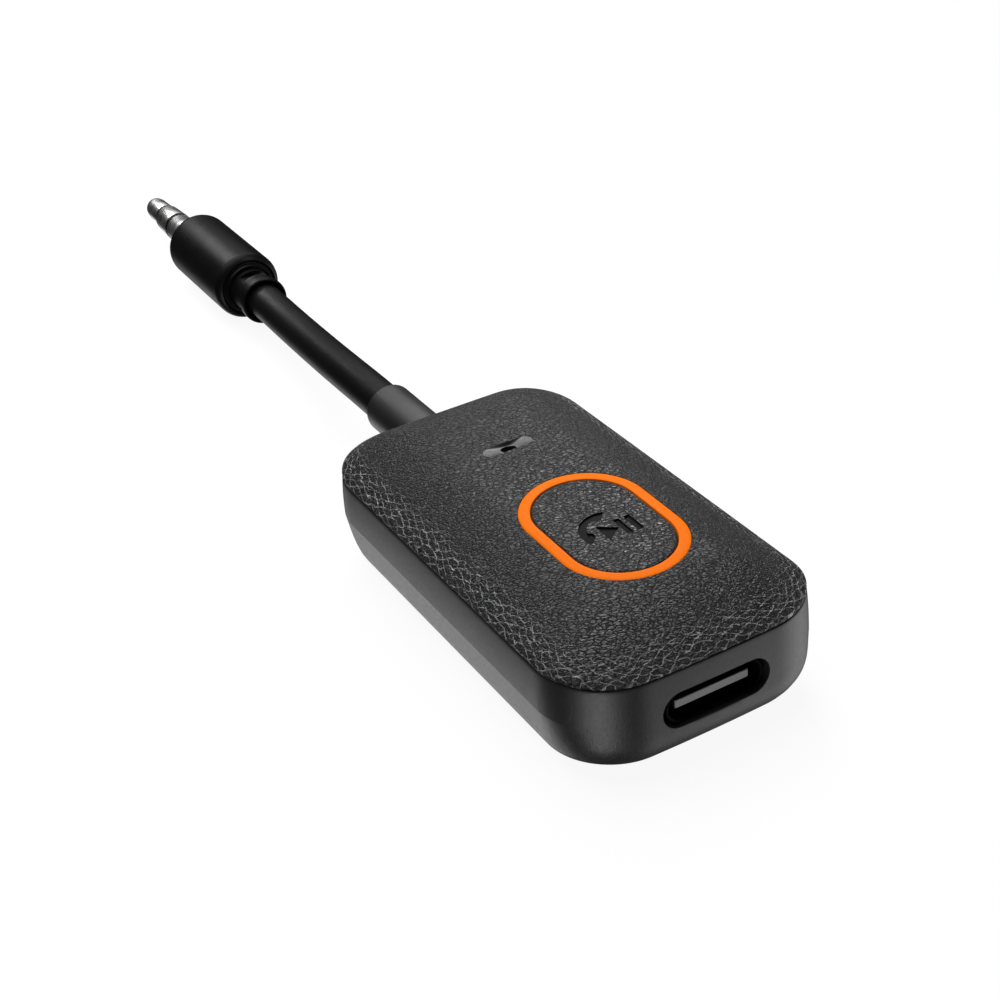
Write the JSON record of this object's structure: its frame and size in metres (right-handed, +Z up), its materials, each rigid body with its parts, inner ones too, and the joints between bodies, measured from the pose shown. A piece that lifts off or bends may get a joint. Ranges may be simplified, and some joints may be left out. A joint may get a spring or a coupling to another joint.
{
  "type": "bluetooth audio receiver",
  "caption": "Pocket Bluetooth audio receiver: leather-topped rounded housing, ringed call and play button, USB-C port, short cable with a 3.5 mm plug.",
  "frame": {"origin": "bottom centre of the housing, without the cable and plug", "axes": "+Z up out of the button face, +Y from the USB-C port towards the cable and plug, +X to the right seen from the port end"},
  "size_m": [0.024, 0.122, 0.0129],
  "materials": {
    "case_plastic": "fine matte texture",
    "leather": "fine pebble grain, satin",
    "orange_plastic": "flat saturated orange",
    "boot_plastic": "satin",
    "cable_jacket": "satin",
    "nickel": "polished nickel plate",
    "insulator": "satin black",
    "port_steel": "blackened steel",
    "port_moulding": "moulded plastic",
    "board": "solder mask",
    "chip_epoxy": "moulded epoxy",
    "switch_steel": "plated steel",
    "ceramic": "ceramic",
    "battery_foil": "laminated foil",
    "foam": "closed-cell foam",
    "red_wire": "insulated wire",
    "white_wire": "insulated wire",
    "copper": "bare copper"
  },
  "bodies": {
    "housing": {"lower_case": "case_plastic", "top_cover": "case_plastic", "leather_skin": "leather", "accent_ring": "orange_plastic", "mic_insert": "case_plastic", "mic_gasket": "foam", "microphone": "switch_steel", "status_led": "ceramic", "main_board": "board", "switch_base": "chip_epoxy", "switch_lid": "switch_steel", "switch_dome": "switch_steel", "usb_shell": "port_steel", "usb_tongue": "port_moulding", "bluetooth_chip": "chip_epoxy", "charger_chip": "chip_epoxy", "power_inductor": "chip_epoxy", "crystal": "switch_steel", "antenna": "ceramic", "battery_cell": "battery_foil", "battery_pad": "foam", "battery_board": "board", "battery_lead_red": "red_wire", "battery_lead_black": "cable_jacket", "cable_gland": "boot_plastic", "wire_left": "white_wire", "wire_right": "red_wire", "wire_ground": "copper", "audio_cable": "cable_jacket", "plug_collar": "boot_plastic", "plug_boot": "boot_plastic", "jack_sleeve": "nickel", "jack_insulator_rear": "insulator", "jack_ring": "nickel", "jack_insulator_front": "insulator", "jack_tip": "nickel"},
    "button": {"button_cap": "case_plastic", "button_leather": "leather"},
    "plunger": {"switch_plunger": "chip_epoxy"}
  },
  "joints": [
    {"name": "button_press", "type": "slide", "parent": "housing", "child": "button", "axis": [0, 0, -1], "range_m": [0, 0.0003], "stiffness_N_per_m": 2000, "springref_m": -0.0005},
    {"name": "switch_press", "type": "slide", "parent": "housing", "child": "plunger", "axis": [0, 0, -1], "range_m": [0, 0.0003], "deforming": ["switch_dome"]}
  ],
  "couplings": [
    {"joint": "switch_press", "follows": "button_press", "ratio": 1}
  ]
}
